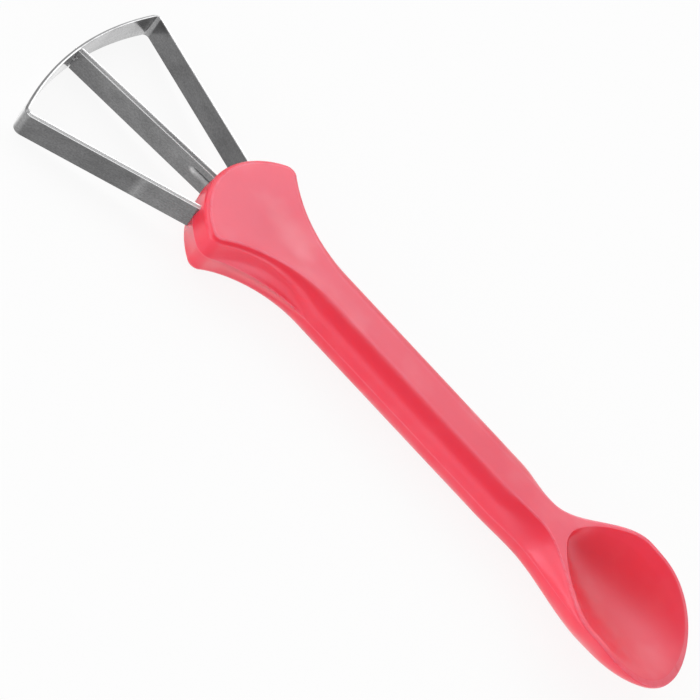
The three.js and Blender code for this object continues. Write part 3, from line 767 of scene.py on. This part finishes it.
def head_shape(sizes):
    """Shape of the stations of the head and flare. The flanks slope from the parting line to the rounded
    edges. The flats draw in along the flare by one power and the edges grow round by another, and the upper
    face and the underside fall by a smooth step from the grip to the head."""
    at, inward, corner_x = head_plan(sizes)
    handle = sizes.handle
    along = np.clip((at[:, 0] - corner_x) / (handle.flare_length - corner_x), 0, 1)
    head_share = 1 - ramp(at[:, 0], corner_x, handle.flare_length)
    level = np.ones(len(at))
    shape = {
        "at": at, "inward": inward, "part": 0 * level,
        "top": sizes.half_thick - handle.head_drop * head_share,
        "bottom": -sizes.half_thick - handle.head_sag * head_share,
        "sweep": math.pi / 2 * level, "slack": 0 * level,
        "bowl_half": 0 * level, "bowl_depth": 0 * level, "open": 0 * level,
    }
    for side, head_edge, height in (
        ("upper", handle.head_edge, shape["top"]), ("lower", handle.head_lower_edge, -shape["bottom"])
    ):
        start = min(head_edge, min(sizes.grip_edge, handle.corner_radius) - handle.head_draft)
        edge = mix(start, sizes.grip_edge, along**handle.edge_growth)
        inset = mix(start + handle.head_draft, sizes.grip_edge, along**handle.flat_growth)
        shape[side] = inset
        shape[side + "_draft"] = inset - edge
        shape[side + "_wall"] = height - edge
    return shape


def scoop_shape(sizes):
    """Shape of the stations from the grip to the tip. A smooth step opens the grip into the scoop; the rim
    arches up to its widest line and falls by a parabola to the tip, and the belly under it follows a
    cosine. The bowl keeps the rim's width inside the outline and has a rounded heel. The neck's flank is
    slack, so it leans in."""
    handle = sizes.handle
    turn = np.linspace(0, math.pi, BOWL_STEPS)
    x = np.concatenate([
        np.linspace(handle.flare_length, sizes.grip_end, GRIP_STEPS)[1:],
        np.linspace(sizes.grip_end, sizes.bowl_start, NECK_STEPS)[1:-1],
        mix(sizes.bowl_start, sizes.bowl_end, (1 - np.cos(turn)) / 2),
        mix(sizes.bowl_end, sizes.tip_x, 1 - np.linspace(1, 0, TIP_STEPS)[1:] ** 2)])
    opened = ramp(x, sizes.neck_x, sizes.wide_x)
    neck_half = mix(sizes.grip_half, handle.neck_width / 2, ramp(x, sizes.grip_end, sizes.neck_x))
    nose = np.sqrt(np.clip(1 - (np.maximum(0, x - sizes.nose_x) / handle.scoop_nose) ** 2, 0, 1))
    half = mix(neck_half, sizes.scoop_half, opened) * nose
    ridge = np.minimum(sizes.grip_flat, neck_half)
    rim_inset = np.minimum(mix(neck_half - ridge, handle.rim_edge, opened), half)
    past = np.clip((x - sizes.wide_x) / (sizes.tip_x - sizes.wide_x), 0, 1)
    spread = ramp(x, sizes.grip_end, sizes.wide_x)
    top = sizes.half_thick + handle.rim_rise * spread - handle.tip_drop * past**2
    under_neck = top + sizes.half_thick - handle.belly_rise * spread
    depth = np.where(x < sizes.wide_x, under_neck, sizes.scoop_depth * np.cos(math.pi / 2 * past))
    inside = (x > sizes.bowl_start) & (x < sizes.bowl_end)
    heel = rounded((x - sizes.bowl_start) / handle.bowl_heel, handle.heel_fullness)
    past_nose = np.clip((x - sizes.nose_x) / (sizes.bowl_end - sizes.nose_x), 0, 1)
    behind = (half - rim_inset + handle.rim_edge - handle.rim_width) * heel
    ahead = (sizes.scoop_half - handle.rim_width) * np.sqrt(1 - past_nose**2)
    rising = rounded((x - sizes.bowl_start) / (sizes.wide_x - sizes.bowl_start), handle.floor_fullness)
    falling = np.cos(math.pi / 2 * np.clip((x - sizes.wide_x) / (sizes.bowl_end - sizes.wide_x), 0, 1))
    floor = np.where(x < sizes.wide_x, rising, falling)
    level = np.ones(len(x))
    wall = (sizes.half_thick - sizes.grip_edge) * (1 - opened)
    return {
        "at": np.stack([x, half], 1), "inward": np.stack([0 * x, -level], 1),
        "part": (top - np.minimum(handle.rim_edge, depth)) * opened, "top": top, "bottom": top - depth,
        "upper": rim_inset, "upper_draft": 0 * level, "upper_wall": wall,
        "lower": half - ridge * (1 - opened), "lower_draft": 0 * level, "lower_wall": wall,
        "sweep": mix(math.pi / 2, handle.ridge_angle, ramp(x, sizes.grip_end, sizes.neck_x)),
        "bowl_half": inside * np.where(x > sizes.nose_x, ahead, behind),
        "bowl_depth": inside * (sizes.scoop_depth - handle.floor_thickness) * floor,
        "open": opened,
        "slack": handle.flank_slack * ramp(x, sizes.grip_end, sizes.neck_x) * (1 - opened),
    }


def handle_mesh(sizes):
    """Skin of the handle: for every station along the outline, one half of a ring from the middle of the
    upper face over bowl, lip, rim, ridge, flank, parting line and belly to the middle of the underside, and
    its mirror image. The bowl is a parabola across, and curves that leave their neighbours along the
    tangents round the lip and the ridge. The flank and the belly are parts of ellipses, and the parting
    line is a low parabola."""
    handle = sizes.handle
    head = head_shape(sizes)
    scoop = scoop_shape(sizes)
    shape = {key: np.concatenate([head[key], scoop[key]]) for key in head}
    column = {key: shape[key][:, None] for key in shape if key not in ("at", "inward")}
    at = shape["at"]
    inward = shape["inward"]
    top = column["top"]
    edge = at + inward * shape["upper"][:, None]
    edge_x, edge_y = edge[:, :1], edge[:, 1:]

    def across(y, z):
        """Points on the straight line across the upper face, lowered by the thumb dish."""
        lengthways = ramp(edge_x, -handle.head_front, sizes.front_x)
        lengthways = lengthways * (1 - ramp(edge_x, sizes.front_x, handle.flare_length))
        sideways = 1 - np.minimum(1, (y / np.maximum(edge_y, TINY)) ** 2)
        sunk = handle.dish_depth * lengthways * sideways**2
        return np.stack([np.broadcast_to(edge_x, y.shape), y, np.broadcast_to(z, y.shape) - sunk], -1)

    def around(inset, z):
        """Points at an inset from the parting line, square to the outline."""
        plan = at[:, None, :] + inward[:, None, :] * inset[..., None]
        return np.concatenate([plan, np.broadcast_to(z, inset.shape)[..., None]], -1)

    def curve(first, drawn_to, last, t):
        """Parabola from the first point to the last that is drawn towards a point between them."""
        return (1 - t) ** 2 * first + 2 * t * (1 - t) * drawn_to + t**2 * last

    bowl_half, bowl_depth = column["bowl_half"], column["bowl_depth"]
    ease = (bowl_half > 0) * mix(HEEL_EASE, 1.0, ramp(at[:, :1], sizes.bowl_start, sizes.wide_x))
    lip = ease * np.minimum(handle.lip_width, LIP_SHARE * np.maximum(0, edge_y - bowl_half))
    lip_run = np.minimum(ease * handle.lip_run, ROUND_SHARE * bowl_half)
    reach = 1 - lip_run / np.maximum(bowl_half, TINY)
    steps = reach * np.linspace(0, 1, HOLLOW_STEPS)[None, :]
    bowl = across(bowl_half * steps, top - bowl_depth * (1 - steps**2))
    meet = np.minimum(bowl_half * (reach + (1 - reach**2) / (2 * reach)), bowl_half + 0.5 * lip)
    lip_steps = np.linspace(0, 1, LIP_STEPS)[None, 1:, None]
    lips = curve(bowl[:, -1:], across(meet, top), across(bowl_half + lip, top), lip_steps)
    upper_wall = column["part"] + column["upper_wall"]
    lower_wall = column["part"] - column["lower_wall"]
    flank_length = np.hypot(column["upper"] - column["upper_draft"], top - upper_wall)
    rim_left = np.maximum(0, edge_y - bowl_half - lip)
    soft = np.minimum(handle.ridge_soft, ROUND_SHARE * np.minimum(flank_length, rim_left))
    rim = across(mix(bowl_half + lip, edge_y - soft, np.linspace(0, 1, RIM_STEPS)[None, 1:]), top)
    sweep, slack = column["sweep"], column["slack"]

    def flank_at(share_left):
        """Points of the flank from the parting line, at 0, to the ridge, at 1: the part of an ellipse
        between the angles slack and sweep, fitted between those two lines."""
        turn_left = slack + (sweep - slack) * share_left
        part = (np.cos(slack) - np.cos(turn_left)) / (np.cos(slack) - np.cos(sweep))
        rise = (np.sin(turn_left) - np.sin(slack)) / (np.sin(sweep) - np.sin(slack))
        return around(mix(column["upper_draft"], column["upper"], part), mix(upper_wall, top, rise))

    start = 1 - soft / np.maximum(flank_length, TINY)
    ridge_steps = np.linspace(0, 1, RIDGE_STEPS)[None, 1:-1, None]
    ridge = curve(rim[:, -1:], across(edge_y, top), flank_at(start), ridge_steps)
    flank = flank_at(start * np.linspace(1, 0, FLANK_STEPS)[None, :])
    seam_half = np.minimum(handle.seam_width, 0.5 * column["upper_wall"])
    proud = handle.seam_proud * (1 - column["open"]) ** 2
    seam_steps = np.linspace(1, -1, SEAM_STEPS)[None, 1:-1]
    seam = around(-proud * (1 - seam_steps**2), column["part"] + seam_half * seam_steps)

    def seam_edge(side, up):
        """Where the parting line's ridge leaves the wall above it, or the wall under it where up is -1."""
        wall = np.maximum(column[side + "_wall"], TINY)
        return around(column[side + "_draft"] * seam_half / wall, column["part"] + up * seam_half)

    turn = np.linspace(0, math.pi / 2, BELLY_STEPS)[None, :]
    belly = around(
        mix(column["lower_draft"], column["lower"], 1 - np.cos(turn)),
        lower_wall + (column["bottom"] - lower_wall) * np.sin(turn))
    inwards = np.linspace(1, 0, UNDER_STEPS + 1)[1:]
    under = belly[:, -1:] * np.stack([np.ones(UNDER_STEPS), inwards, np.ones(UNDER_STEPS)], -1)[None]
    groups = {
        "bowl": bowl, "lips": lips, "rim": rim, "ridge": ridge, "flank": flank,
        "seam_high": seam_edge("upper", 1), "seam": seam, "seam_low": seam_edge("lower", -1),
        "belly": belly, "under": under,
    }
    half = np.concatenate(list(groups.values()), 1)
    near_neck = ramp(at[:, :1], sizes.grip_end, sizes.neck_x)
    near_head = 1 - ramp(at[:, :1], sizes.front_x, handle.flare_length)
    # Paler red: painted glow of light through the thin rim, painted highlight on the ridge and the head's
    # edges, and partly wear and partly painted highlight on the parting line
    rubbed_and_lit = {"rim": 0.55 * column["open"], "ridge": 0.2 + 0.9 * near_neck + 0.4 * near_head, "seam": 0.7}
    wear_and_painted_light = np.concatenate([
        np.zeros(group.shape[:2]) + rubbed_and_lit.get(name, 0.0) for name, group in groups.items()], 1)
    # Share of the bowl's depth, which paints shade as a deeper red towards the bottom of the bowl
    deep = bowl_depth / (sizes.scoop_depth - handle.floor_thickness) * (1 - steps**2)
    hollow = np.concatenate([deep, np.zeros((len(at), half.shape[1] - deep.shape[1]))], 1)
    ring = np.concatenate([half, half[:, -2:0:-1] * np.array([1.0, -1.0, 1.0])], 1)
    wear_and_painted_light, hollow = (np.concatenate([value, value[:, -2:0:-1]], 1) for value in (wear_and_painted_light, hollow))
    bend = handle.head_bend * (1 - ramp(ring[..., 0], -handle.bend_span, handle.bend_span))
    points = sizes.leaned(ring, bend) + sizes.shift
    return points, grid_faces(*ring.shape[:2], True), {"wear_and_painted_light": wear_and_painted_light, "hollow": hollow}


def place_piece(piece, node):
    """Ties a finished piece to the CAD: it rides on the one body and may stand for a node of it, which is
    then hidden."""
    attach(piece, "root")
    if node:
        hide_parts(node)


class MELON_OT_outer_blade(bpy.types.Operator):
    """Make the bent outer strip of the fan"""

    bl_idname = "melon.outer_blade"
    bl_label = "Outer blade"

    def execute(self, context):
        sizes = Sizes(context.scene)
        steel = steel_finish("rolled_steel_outer", context.scene.melon_finishes)
        points, quads, attributes = outer_blade_mesh(sizes)
        piece = make_piece("outer_blade_strip", points, quads, attributes, steel, STEEL_SHARP)
        soften(piece, sizes.fan.edge_round)
        place_piece(piece, "outer_blade")
        return {"FINISHED"}


class MELON_OT_centre_blade(bpy.types.Operator):
    """Make the straight centre blade with its tongue, pressed rib and weld beads"""

    bl_idname = "melon.centre_blade"
    bl_label = "Centre blade"

    def execute(self, context):
        sizes = Sizes(context.scene)
        steel = steel_finish("rolled_steel_centre", context.scene.melon_finishes)
        points, quads, attributes = centre_blade_mesh(sizes)
        piece = make_piece("centre_blade_strip", points, quads, attributes, steel, STEEL_SHARP)
        soften(piece, sizes.fan.edge_round)
        place_piece(piece, "centre_blade")
        points, quads, attributes = bead_mesh(sizes)
        beads = make_piece("weld_beads", points, quads, attributes, steel, ROUND_SHARP)
        place_piece(beads, None)
        return {"FINISHED"}


class MELON_OT_handle(bpy.types.Operator):
    """Make the moulded handle: head, grip and seed scoop"""

    bl_idname = "melon.handle"
    bl_label = "Handle"

    def execute(self, context):
        sizes = Sizes(context.scene)
        plastic = plastic_finish(context.scene.melon_finishes)
        points, quads, attributes = handle_mesh(sizes)
        piece = make_piece("moulded_handle", points, quads, attributes, plastic, ROUND_SHARP)
        place_piece(piece, "handle")
        return {"FINISHED"}


class MELON_OT_stage(bpy.types.Operator):
    """Make the floor, the studio light and the camera"""

    bl_idname = "melon.stage"
    bl_label = "Stage"

    def execute(self, context):
        finishes = context.scene.melon_finishes
        make_floor(finishes)
        make_light(context.scene, finishes)
        make_camera(context.scene)
        return {"FINISHED"}


def make_floor(finishes):
    """One large pale sheet at the height of the part's lowest edge."""
    reach = 6.0
    lines = 3
    u, v = np.meshgrid(np.linspace(-reach, reach, lines), np.linspace(-reach, reach, lines))
    points = np.stack([u, v, 0 * u], -1).reshape(-1, 3)
    mesh = bpy.data.meshes.new("paper_floor")
    mesh.from_pydata(points.tolist(), [], grid_faces(lines, lines, False).reshape(-1, 4).tolist())
    mesh.materials.append(paper_finish(finishes))
    floor = bpy.data.objects.new("paper_floor", mesh)
    bpy.context.scene.collection.objects.link(floor)


def make_light(scene, finishes):
    """A studio round the object: dim overhead, paler behind with a soft window there, a soft light low in
    front, a raised light on the side of the fan, and two brighter front corners. A direction is told by how
    far it lies sideways and upward, and by how far behind the object it lies once its sideways part is
    taken away."""
    scene.view_settings.view_transform = "Standard"
    world = bpy.data.worlds.new("soft_studio")
    scene.world = world
    world.use_nodes = True
    make = Finish(world.node_tree)
    way = make.node("ShaderNodeTexCoord", {}, {}, "Generated")
    over = make.node("ShaderNodeVectorMath", {"operation": "MULTIPLY"}, {0: way, 1: (0.0, 1.0, 1.0)})
    over = make.node("ShaderNodeVectorMath", {"operation": "NORMALIZE"}, {0: over})
    behind = make.axis(over, "Y")
    sideways = make.axis(way, "X")
    upward = make.axis(way, "Z")
    back = make.band(behind, 0.45, 0.72)
    window = make.band(behind, 0.10, 0.80) * make.band(behind, 0.98, 0.80)
    window = window * make.band(sideways, -0.55, -0.30) * make.band(sideways, 0.22, 0.0)
    front = make.band(behind, -0.75, -0.97)
    left = make.band(sideways, -0.50, -0.80) * make.band(upward, 0.2, 0.5)
    right = make.band(sideways, 0.45, 0.72) * make.band(behind, -0.5, -0.8)
    low_corner = make.band(behind, -0.94, -1.0) * make.band(sideways, -0.25, -0.5)
    dim = finishes.overhead_level
    level = dim + back * (finishes.horizon_level - dim) + front * (finishes.front_level - dim)
    level = level + window * (finishes.window_level - finishes.horizon_level)
    level = level * (1.0 - left) + left * finishes.left_level
    level = level + right * (finishes.right_level - dim) + low_corner * finishes.corner_level
    sky = make.node("ShaderNodeBackground", {}, {"Color": level, "Strength": 1.0})
    make.node("ShaderNodeOutputWorld", {}, {"Surface": sky})


def make_camera(scene):
    """Camera at the photograph's angle, solved in the plane of the fan and leaned with the head into the
    part's frame. It looks at a target on the middle line, behind the chord of the arc."""
    sizes = Sizes(scene)
    turn, height, roll = (math.radians(value) for value in (CAMERA_TURN, CAMERA_HEIGHT, CAMERA_ROLL))
    target = np.array([sizes.chord_x + TARGET_FROM_CHORD * MM, 0.0, TARGET_HEIGHT * MM])
    back = np.array([
        math.sin(turn) * math.cos(height),
        -math.cos(turn) * math.cos(height),
        math.sin(height),
    ])
    right = np.array([math.cos(turn), math.sin(turn), 0.0])
    up = np.cross(back, right)
    axes = np.stack([
        math.cos(roll) * right + math.sin(roll) * up,
        math.cos(roll) * up - math.sin(roll) * right,
        back,
    ])
    axes = sizes.leaned(axes, sizes.handle.head_bend)
    place = sizes.fan_to_part(target) + axes[2] * CAMERA_DISTANCE * MM
    lens = bpy.data.cameras.new("photo_camera")
    lens.sensor_width = SENSOR_WIDTH
    lens.lens = FOCAL_PIXELS * SENSOR_WIDTH / IMAGE_SIZE
    lens.clip_start = 0.01
    lens.clip_end = 50.0
    camera = bpy.data.objects.new("photo_camera", lens)
    camera.matrix_world = Matrix.Translation(Vector(place)) @ Matrix(axes.T.tolist()).to_4x4()
    scene.collection.objects.link(camera)
    scene.camera = camera


class MELON_PT_panel(bpy.types.Panel):
    """Lists the steps and the sizes of the melon cutter"""

    bl_idname = "MELON_PT_panel"
    bl_label = "Melon cutter"
    bl_space_type = "VIEW_3D"
    bl_region_type = "UI"
    bl_category = "Melon cutter"

    def draw(self, context):
        layout = self.layout
        for operator in OPERATORS:
            layout.operator(operator.bl_idname)
        for group in (context.scene.melon_fan, context.scene.melon_handle, context.scene.melon_finishes):
            box = layout.box()
            for key in group.__annotations__:
                box.prop(group, key)


OPERATORS = (MELON_OT_stage, MELON_OT_outer_blade, MELON_OT_centre_blade, MELON_OT_handle)
GROUPS = {"melon_fan": FanSizes, "melon_handle": HandleSizes, "melon_finishes": Finishes}


def register():
    """Registers the groups of sizes, the operators and the panel."""
    for group in GROUPS.values():
        bpy.utils.register_class(group)
    for name, group in GROUPS.items():
        setattr(bpy.types.Scene, name, PointerProperty(type=group))
    for operator in OPERATORS:
        bpy.utils.register_class(operator)
    bpy.utils.register_class(MELON_PT_panel)


def unregister():
    """Takes away what register() added, in reverse."""
    bpy.utils.unregister_class(MELON_PT_panel)
    for operator in reversed(OPERATORS):
        bpy.utils.unregister_class(operator)
    for name in GROUPS:
        delattr(bpy.types.Scene, name)
    for group in reversed(list(GROUPS.values())):
        bpy.utils.unregister_class(group)


def main():
    """Registers the classes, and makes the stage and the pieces."""
    register()
    bpy.ops.melon.stage()
    bpy.ops.melon.outer_blade()
    bpy.ops.melon.centre_blade()
    bpy.ops.melon.handle()


if __name__ == "__main__":
    main()
